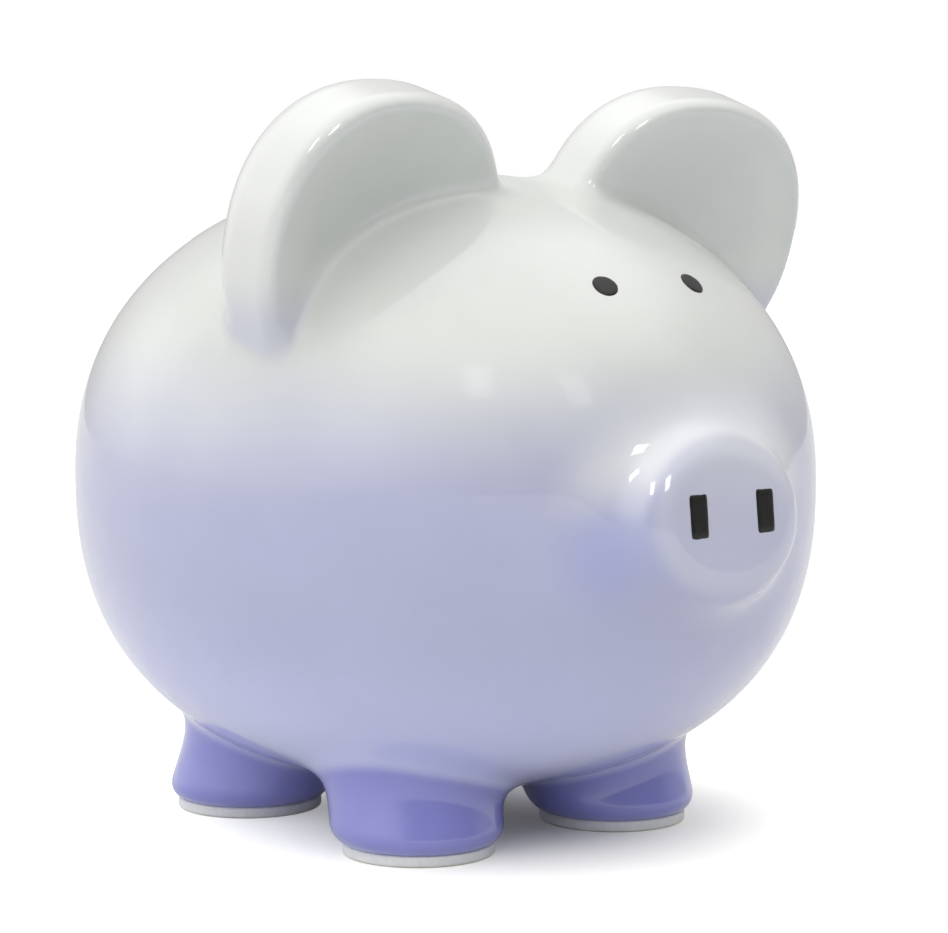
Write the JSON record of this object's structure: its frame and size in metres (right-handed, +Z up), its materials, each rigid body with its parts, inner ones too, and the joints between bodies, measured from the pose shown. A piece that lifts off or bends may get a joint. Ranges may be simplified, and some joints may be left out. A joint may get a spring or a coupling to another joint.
{
  "type": "piggy bank",
  "caption": "Hollow glazed ceramic pig standing on stub legs, with a coin slot in its back and a pull-out plug in its belly.",
  "frame": {"origin": "centre of the bounding box's bottom face: on the floor the feet stand on, midway between the snout's front and the tail's end", "axes": "+Z up; the pig faces -Y, so its left side is at +X; the stopper pulls out along -Z"},
  "size_m": [0.18, 0.2194, 0.188],
  "materials": {
    "body_glaze": "gloss",
    "snout_glaze": "gloss",
    "ear_glaze": "gloss",
    "tail_glaze": "gloss",
    "leg_glaze": "gloss",
    "foot_pad": "matte",
    "black_enamel": "satin",
    "stopper_vinyl": "satin"
  },
  "bodies": {
    "bank": {"body_shell": "body_glaze", "snout": "snout_glaze", "right_ear": "ear_glaze", "left_ear": "ear_glaze", "tail": "tail_glaze", "right_front_leg": "leg_glaze", "left_front_leg": "leg_glaze", "right_rear_leg": "leg_glaze", "left_rear_leg": "leg_glaze", "right_front_pad": "foot_pad", "left_front_pad": "foot_pad", "right_rear_pad": "foot_pad", "left_rear_pad": "foot_pad", "right_eye": "black_enamel", "left_eye": "black_enamel", "right_nostril": "black_enamel", "left_nostril": "black_enamel"},
    "stopper": {"belly_stopper": "stopper_vinyl"}
  },
  "joints": [
    {"name": "stopper_pull", "type": "slide", "parent": "bank", "child": "stopper", "axis": [0, 0, -1], "range_m": [0, 0.025]}
  ]
}
